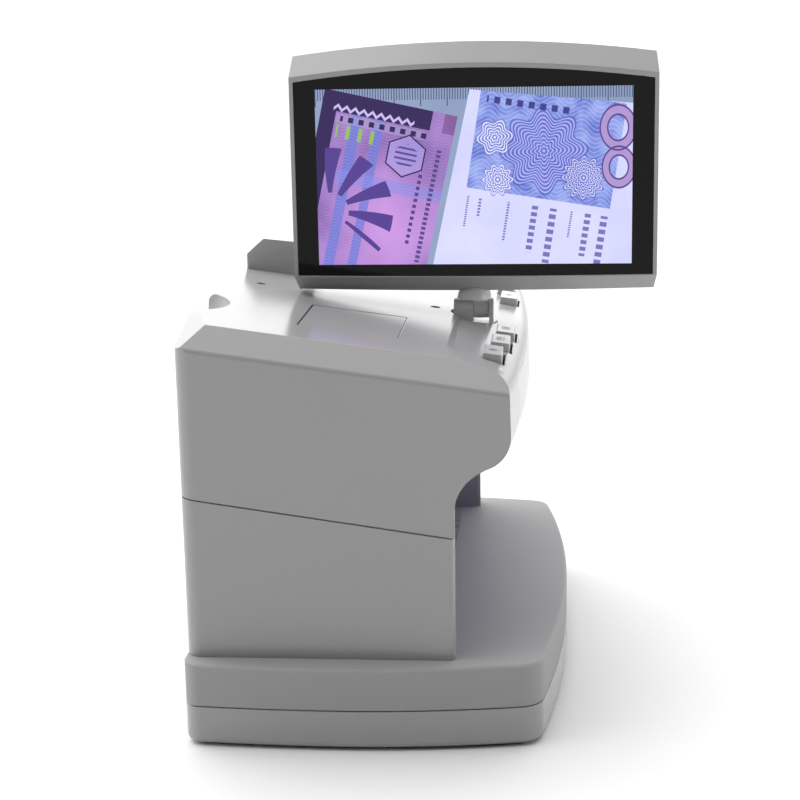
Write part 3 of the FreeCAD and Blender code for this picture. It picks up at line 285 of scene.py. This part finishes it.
def inspection_surface(name, color):
    """Satin plate whose engraved ruler ticks are filled with dark paint."""
    material, tree, shader = new_material(name)
    z = place_flows(tree)[2]
    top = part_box("inspection_plate")[1].z * 1000
    fill = z.between(top - INSPECTION_FILL_LOW, top - INSPECTION_FILL_HIGH)
    dark, light = shades(color, 0.04)
    body = mix(tree, noise(tree, 30, 4), dark, light)
    tree.links.new(mix(tree, fill, body, (0.03, 0.03, 0.05)), shader.inputs["Base Color"])
    marks = noise(tree, 70, 4, (1, 0.3, 1))
    tree.links.new((marks * 0.12 + 0.22).socket, shader.inputs["Roughness"])
    bump(tree, shader, noise(tree, 1300, 2), 0.06, 0.0002)
    return material


# The picture on the monitor ----------------------------------------------------------------------

def display_area():
    """Left, bottom, width and height of the lit area in millimetres, seen from its front."""
    low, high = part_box("lcd_panel")
    left = (low.y + high.y) / 2 / MM + PICTURE_W / 2
    bottom = (low.z + high.z) / 2 / MM - PICTURE_H / 2
    return left, bottom, PICTURE_W, PICTURE_H


def turned(s, t, centre, degrees):
    """Coordinates about a centre in axes turned clockwise by some degrees."""
    c = math.cos(math.radians(degrees))
    k = math.sin(math.radians(degrees))
    ds = s - centre[0]
    dt = t - centre[1]
    return ds * c - dt * k, ds * k + dt * c


def rosette(p, q, centre, radius, petals, rings):
    """Line rosette: rings whose radius swells with the petals, as a 0 to 1 mask."""
    dp = p - centre[0]
    dq = q - centre[1]
    distance = hypot(dp, dq)
    swell = (angle(dp, dq) * petals).sin() * 0.14 + 1.0
    level = distance / radius / swell
    lines = (level * rings).fract().below(0.42)
    return lines * level.below(1.0), level.below(1.0)


def paint(tree, picture, layers):
    for mask, color in layers:
        picture = mix(tree, mask, picture, color)
    return picture


def ruler_backdrop(tree, s, t, height):
    """The tray behind the sheets, with its ruler along the top edge."""
    haze = noise(tree, 25, 3)
    base = mix(tree, haze, (0.20, 0.27, 0.45), (0.34, 0.42, 0.60))
    minor = (s / 1.29).fract().below(0.3) * t.above(height - 5.5)
    major = (s / 12.9).fract().below(0.035) * t.above(height - 8.5)
    ticks = minor.op("MAXIMUM", major)
    return paint(tree, base, [(ticks, (0.05, 0.06, 0.12))])


def left_sheet(tree, picture, s, t):
    """Violet sheet with bands, a braid edge, a hexagon seal and a fan of spikes."""
    p, q = turned(s, t, (69.7, 72.2), 12.5)
    sheet = p.below(0.0) * q.below(0.0) * p.above(-66.0)
    tint = noise(tree, 35, 4)
    body = mix(tree, tint.ramp(0.35, 0.65), (0.22, 0.12, 0.40), (0.42, 0.24, 0.62))
    glow = hypot(p + 24.0, (q + 60.0) * 0.8).ramp(34.0, 4.0)
    blue = (0.13, 0.19, 0.66)
    deep = (0.035, 0.018, 0.10)
    waves = ((q * 1.4 + (p * 0.55).sin() * 1.6) / 2.2).fract().below(0.28)
    fan_r = hypot(p + 52.0, q + 58.0)
    fan_a = angle(p + 52.0, q + 58.0)
    spikes = (fan_a * 11.0 + fan_r * 0.05).sin().above(0.1)
    spikes = spikes * fan_r.between(9.0, 31.0) * fan_a.between(-0.5, 1.9)
    hexagon = (p + 21.0).op("ABSOLUTE")
    slanted = (q + 24.0).op("ABSOLUTE") * 0.866 + hexagon * 0.5
    ring = hexagon.op("MAXIMUM", slanted)
    frame_ring = ring.between(8.6, 9.3)
    bars = ring.below(5.4) * (q / 2.6).fract().below(0.4)
    braid = ((p / 4.3).fract() - 0.5).op("ABSOLUTE") * 9.0
    chevrons = (q + 6.5 + braid * 0.5).op("ABSOLUTE").below(0.8) * p.between(-60.0, -20.0)
    dashes = (p / 5.2).fract().below(0.5) * q.near(-12.6, 1.3) * p.between(-56.0, -12.0)
    columns = (p + 12.0).near(0.0, 0.9) * (q / 3.0).fract().below(0.55) * q.between(-66.0, -30.0)
    side_column = (p + 5.4).near(0.0, 1.1) * (q / 2.4).fract().below(0.62) * q.between(-74.0, -18.0)
    green = (p / 6.0).fract().near(0.5, 0.16) * q.between(-22.0, -15.5) * p.between(-57.0, -35.0)
    body = paint(tree, body, [
        (glow * 0.75, (0.72, 0.36, 0.86)),
        (p.near(-48.0, 2.6) * 0.8, blue),
        (p.near(-36.5, 2.2) * 0.8, blue),
        (q.near(-40.0, 3.0) * 0.55, (0.20, 0.26, 0.75)),
        (waves * 0.22, (0.55, 0.42, 0.85)),
        (p.below(-58.5) * q.below(-9.5), deep),
        (q.above(-9.5) * p.below(-12.0), deep),
        (q.above(-9.5) * p.above(-6.0) * 0.6, (0.16, 0.05, 0.20)),
        (chevrons, (0.60, 0.50, 0.85)),
        (p.between(-58.0, -14.0) * q.between(-14.8, -10.4) * 0.5, (0.40, 0.36, 0.62)),
        (dashes, deep),
        (spikes, (0.09, 0.05, 0.28)),
        (green, (0.30, 0.50, 0.12)),
        (ring.below(8.6) * 0.55, (0.45, 0.38, 0.85)),
        (frame_ring, deep),
        (bars, (0.10, 0.07, 0.28)),
        (columns, (0.08, 0.05, 0.22)),
        (side_column, (0.10, 0.06, 0.26)),
    ])
    return mix(tree, sheet, picture, body)


def right_sheet(tree, picture, s, t):
    """Pale sheet with a blue engraved panel of rosettes, rings and ruled bars."""
    p = turned(s, t, (75.6, 85.1), 12.5)[0]
    top = t + (s - 75.6) * 0.096
    sheet = p.above(0.0) * top.below(85.1)
    tint = noise(tree, 28, 4)
    body = mix(tree, tint, (0.50, 0.52, 0.92), (0.80, 0.80, 1.0))
    r, w = turned(s, t, (75.6, 85.1), 9.0)
    panel = r.between(5.5, 76.0) * w.between(-47.0, 4.0)
    cloud = noise(tree, 110, 4)
    blue = mix(tree, cloud.ramp(0.35, 0.65), (0.13, 0.18, 0.62), (0.33, 0.42, 0.86))
    lines, inside = rosette(r, w, (40.0, -24.0), 19.0, 8.0, 11.0)
    small_lines, small_inside = rosette(r, w, (15.5, -21.0), 8.5, 6.0, 6.0)
    low_lines, low_inside = rosette(r, w, (20.0, -41.0), 7.5, 10.0, 5.0)
    far_lines, far_inside = rosette(r, w, (61.0, -34.0), 10.0, 12.0, 7.0)
    waves = ((w * 1.2 + (r * 0.42).sin() * 2.4) / 2.6).fract().below(0.22)
    digits = (r / 5.6).fract().near(0.5, 0.26) * w.near(-3.2, 1.6) * r.between(9.0, 50.0)
    ring_a = hypot(s - 147.0, (t - 66.0) * 0.8)
    ring_b = hypot(s - 147.5, (t - 47.0) * 0.8)
    rings = ring_a.between(5.0, 8.6).op("MAXIMUM", ring_b.between(4.6, 8.0))
    ring_edges = ring_a.near(8.6, 0.35).op("MAXIMUM", ring_a.near(5.0, 0.35))
    ring_edges = ring_edges.op("MAXIMUM", ring_b.near(8.0, 0.35)).op("MAXIMUM", ring_b.near(4.6, 0.35))
    layers = [
        (panel, blue),
        (panel * waves * 0.4, (0.58, 0.64, 0.97)),
        (inside * 0.8, (0.10, 0.11, 0.50)),
        (lines, (0.42, 0.46, 0.93)),
        (small_inside * 0.6, (0.14, 0.15, 0.55)),
        (small_lines, (0.78, 0.80, 1.0)),
        (low_inside * 0.6, (0.20, 0.20, 0.62)),
        (low_lines, (0.80, 0.80, 1.0)),
        (far_inside * 0.7, (0.10, 0.10, 0.48)),
        (far_lines, (0.66, 0.68, 0.98)),
        (digits, (0.05, 0.05, 0.24)),
        (rings, (0.42, 0.30, 0.62)),
        (ring_edges, (0.12, 0.05, 0.28)),
    ]
    columns = [
        (7.0, 0.5, -66.0),
        (13.0, 0.7, -60.0),
        (27.0, 0.6, -70.0),
        (40.0, 1.5, -74.0),
        (49.0, 1.7, -78.0),
        (58.0, 0.5, -64.0),
        (66.0, 1.5, -72.0),
        (74.0, 1.7, -76.0),
    ]
    for column, width, low in columns:
        ruled = (w / (width * 2.2)).fract().below(0.6)
        layers.append((r.near(column, width) * ruled * w.between(low, -51.0) * 0.85, (0.10, 0.08, 0.40)))
    return mix(tree, sheet, picture, paint(tree, body, layers))


def monitor_front(name):
    """Black-printed front glass; the lit panel shows through its window."""
    material, tree, shader = new_material(name)
    _, y, z = place_flows(tree)
    left, bottom, width, height = display_area()
    across = (y * -1.0) + left
    up = z - bottom
    lit = across.between(0.0, width) * up.between(0.0, height)
    scale = LAYOUT_W / width
    s = across * scale
    t = up * scale
    picture = ruler_backdrop(tree, s, t, height * scale)
    picture = left_sheet(tree, picture, s, t)
    picture = right_sheet(tree, picture, s, t)
    tree.links.new(mix(tree, lit, (0.0, 0.0, 0.0), picture), shader.inputs["Emission Color"])
    shader.inputs["Emission Strength"].default_value = 1.05
    dust = noise(tree, 300, 3)
    black = mix(tree, dust, (0.004, 0.004, 0.005), (0.007, 0.007, 0.008))
    tree.links.new(black, shader.inputs["Base Color"])
    tree.links.new((noise(tree, 50, 3) * 0.04 + 0.04).socket, shader.inputs["Roughness"])
    shader.inputs["Specular IOR Level"].default_value = 0.15
    return material


# Assigning the materials -------------------------------------------------------------------------

def finishes():
    housing = moulded_plastic("housing_light", HOUSING, 0.16, grain=0.02, soft_edge=0.0006)
    keys = moulded_plastic("key_plastic", (0.40, 0.402, 0.396), 0.20, grain=0.02, soft_edge=0.0004)
    tray = moulded_plastic("tray_plastic", HOUSING, 0.55, grain=0.04, soft_edge=0.0006, specular=0.2)
    # The hinge plastic is the housing plastic made much lighter: painted light on the hinge and monitor
    # foot, which sit in shade under the monitor.
    hinge_painted_light = moulded_plastic("hinge_plastic_painted_light", (0.66, 0.66, 0.65), 0.20, grain=0.02, soft_edge=0.0003)
    chamber = moulded_plastic("chamber_grey", (0.30, 0.30, 0.34), 0.30, grain=0.06)
    plate = inspection_surface("inspection_surface", (0.26, 0.26, 0.28))
    black = moulded_plastic("black_plastic", (0.02, 0.02, 0.022), 0.35, grain=0.10)
    steel = metal("zinc_steel", (0.55, 0.55, 0.56), 0.28, (1, 1, 6))
    aluminium = metal("aluminium_sheet", (0.82, 0.82, 0.84), 0.2, (0.1, 1, 1))
    board = circuit_board("board_green")
    glow = glowing_window("lamp_window_glow", (0.30, 0.24, 0.85), 1.2)
    by_slot = {
        "housing_light": housing,
        "key_plastic": keys,
        "chamber_grey": chamber,
        "rubber_black": rubber("rubber_black"),
        "steel": steel,
        "reflector_aluminium": aluminium,
        "lamp_glass": glowing_window("lamp_glass", (0.25, 0.15, 0.8), 1.0),
        "clear_glass": clear_glass("clear_glass"),
        "screen_glass": monitor_front("screen_glass"),
        "black_plastic": black,
        "board_green": board,
        "panel_metal": metal("panel_metal", (0.6, 0.6, 0.62), 0.35),
    }
    by_node = {
        "inspection_plate": plate,
        "base_tray": tray,
        "lamp_window_front": glow,
        "lamp_window_rear": glow,
        # Swivel turret and monitor foot take the lightened hinge plastic: painted light against the shade
        # under the monitor.
        "swivel_turret": hinge_painted_light,
        "monitor_foot": hinge_painted_light,
    }
    for part in frame["record"]["subparts"]:
        node = NODES[part["node"]]
        material = by_node.get(part["node"], by_slot[part["material_slot"]])
        for slot in node.material_slots:
            slot.material = material


# Printed key symbols -----------------------------------------------------------------------------

def ink():
    material, tree, shader = new_material("symbol_ink")
    wear = noise(tree, 1200, 3)
    tree.links.new(mix(tree, wear, (0.05, 0.05, 0.055), (0.10, 0.10, 0.105)), shader.inputs["Base Color"])
    tree.links.new((wear * 0.15 + 0.35).socket, shader.inputs["Roughness"])
    return material


def bar(mesh, x0, y0, x1, y1):
    corners = [mesh.verts.new((x, y, 0)) for x, y in ((x0, y0), (x1, y0), (x1, y1), (x0, y1))]
    mesh.faces.new(corners)


def ring(mesh, cx, cy, inner, outer, start, end, steps):
    rim = []
    for i in range(steps + 1):
        turn = start + (end - start) * i / steps
        c = math.cos(turn)
        k = math.sin(turn)
        rim.append([mesh.verts.new((cx + r * c, cy + r * k, 0)) for r in (inner, outer)])
    for one, two in zip(rim, rim[1:]):
        mesh.faces.new((one[0], one[1], two[1], two[0]))


def outline(mesh, w, h, line):
    bar(mesh, -w / 2, -h / 2, w / 2, -h / 2 + line)
    bar(mesh, -w / 2, h / 2 - line, w / 2, h / 2)
    bar(mesh, -w / 2, -h / 2 + line, -w / 2 + line, h / 2 - line)
    bar(mesh, w / 2 - line, -h / 2 + line, w / 2, h / 2 - line)


def draw_symbol(mesh, number):
    """Generic pictograms: lamp rays, sheet, frame with bars, magnifier, on-off."""
    if number == 1:
        ring(mesh, 0, 0, 0.7, 1.25, 0, 2 * math.pi, 24)
        for i in range(8):
            turn = i * math.pi / 4
            ring(mesh, 0, 0, 1.6, 2.2, turn - 0.13, turn + 0.13, 2)
    elif number == 2:
        outline(mesh, 6.4, 3.6, 0.45)
        bar(mesh, -2.0, -0.25, 2.0, 0.25)
        bar(mesh, -2.0, 0.65, 0.6, 1.05)
    elif number == 3:
        outline(mesh, 5.6, 3.8, 0.5)
        ring(mesh, 0, 0, 0.45, 1.05, 0, 2 * math.pi, 20)
    elif number == 4:
        ring(mesh, -0.5, 0.4, 1.0, 1.5, 0, 2 * math.pi, 24)
        bar(mesh, 0.45, -1.9, 0.95, -0.6)
        bar(mesh, -1.1, 0.2, 0.1, 0.6)
    else:
        ring(mesh, 0, 0, 1.3, 1.85, math.radians(120), math.radians(420), 24)
        bar(mesh, -0.27, 0.5, 0.27, 2.1)


def key_symbol(number, material):
    """A printed symbol lying on the sloping top of one key."""
    low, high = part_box("key_" + str(number))
    slope = math.atan(DECK_SLOPE)
    mesh = bmesh.new()
    draw_symbol(mesh, number)
    bmesh.ops.scale(mesh, vec=(MM, MM, MM), verts=mesh.verts)
    faces = list(mesh.faces)
    lifted = bmesh.ops.extrude_face_region(mesh, geom=faces)
    raised = [v for v in lifted["geom"] if isinstance(v, bmesh.types.BMVert)]
    bmesh.ops.translate(mesh, vec=(0, 0, SYMBOL_RISE), verts=raised)
    bmesh.ops.recalc_face_normals(mesh, faces=mesh.faces)
    middle_y = (low.y + high.y) / 2
    top_z = high.z - DECK_SLOPE * (high.y - middle_y) + SYMBOL_LIFT
    place = Matrix.Translation(((low.x + high.x) / 2, middle_y, top_z)) @ Matrix.Rotation(slope, 4, "X")
    mesh.transform(place)
    data = bpy.data.meshes.new("key_symbol_" + str(number))
    mesh.to_mesh(data)
    mesh.free()
    piece = bpy.data.objects.new(data.name, data)
    bpy.context.collection.objects.link(piece)
    data.materials.append(material)
    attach(piece, "key_" + str(number))


def key_symbols():
    material = ink()
    for number in range(1, 6):
        key_symbol(number, material)


# Floor, light and camera -------------------------------------------------------------------------

def floor():
    material, tree, shader = new_material("studio_floor")
    pale = mix(tree, noise(tree, 3, 3), (0.79, 0.79, 0.79), (0.81, 0.81, 0.81))
    tree.links.new(pale, shader.inputs["Base Color"])
    shader.inputs["Roughness"].default_value = 0.8
    shader.inputs["Specular IOR Level"].default_value = 0.2
    bpy.ops.mesh.primitive_plane_add(size=FLOOR_SIZE, location=(0, 0, -FLOOR_DROP))
    plane = bpy.context.object
    plane.name = "studio_floor"
    plane.data.materials.append(material)


def world():
    """Soft room light: bright above, beyond and behind the machine, dark low on the near side."""
    sky = bpy.data.worlds.new("studio")
    bpy.context.scene.world = sky
    sky.use_nodes = True
    tree = sky.node_tree
    coords = tree.nodes.new("ShaderNodeTexCoord")
    split = tree.nodes.new("ShaderNodeSeparateXYZ")
    tree.links.new(coords.outputs["Generated"], split.inputs[0])
    x, y, z = [Flow(tree, out) for out in split.outputs]
    toward = x * SKY_AXIS[0] + y * SKY_AXIS[1] + z * SKY_AXIS[2]
    color = mix(tree, toward.ramp(*SKY_EDGE), SKY_DARK, SKY_BRIGHT)
    background = tree.nodes["Background"]
    tree.links.new(color, background.inputs["Color"])
    background.inputs["Strength"].default_value = 1.0


def softbox(name, place, target, size, power, color=(1, 1, 1)):
    light = bpy.data.lights.new(name, "AREA")
    light.shape = "RECTANGLE"
    light.size, light.size_y = size
    light.energy = power
    light.color = color
    lamp = bpy.data.objects.new(name, light)
    lamp.location = place
    lamp.rotation_mode = "QUATERNION"
    lamp.rotation_quaternion = (Vector(target) - Vector(place)).to_track_quat("-Z", "Y")
    bpy.context.collection.objects.link(lamp)


def lights():
    softbox("overhead", (0.35, 0.45, 1.3), (0, 0.05, 0.1), (1.2, 1.2), 8.0)
    softbox("front_fill", (0.1, -1.5, 0.6), (0, 0, 0.12), (0.8, 0.6), 2.0)
    softbox("hinge_fill", (-0.2, -0.6, 0.25), HINGE_PLACE, (0.2, 0.15), 0.5)


def camera():
    data = bpy.data.cameras.new("camera")
    data.lens = CAMERA_LENS
    data.sensor_width = CAMERA_SENSOR
    data.clip_start = 0.05
    data.clip_end = 100
    eye = bpy.data.objects.new("camera", data)
    bpy.context.collection.objects.link(eye)
    level = math.cos(CAMERA_ELEVATION)
    ahead_x = level * math.cos(CAMERA_HEADING)
    ahead_y = level * math.sin(CAMERA_HEADING)
    ahead = Vector((ahead_x, ahead_y, math.sin(CAMERA_ELEVATION)))
    turn = ahead.to_track_quat("-Z", "Y").to_matrix() @ Matrix.Rotation(CAMERA_ROLL, 3, "Z")
    eye.matrix_world = Matrix.Translation(CAMERA_PLACE) @ turn.to_4x4()
    bpy.context.scene.camera = eye


def main():
    bpy.context.scene.view_settings.view_transform = "Standard"
    camera()
    finishes()
    key_symbols()
    floor()
    world()
    lights()


main()
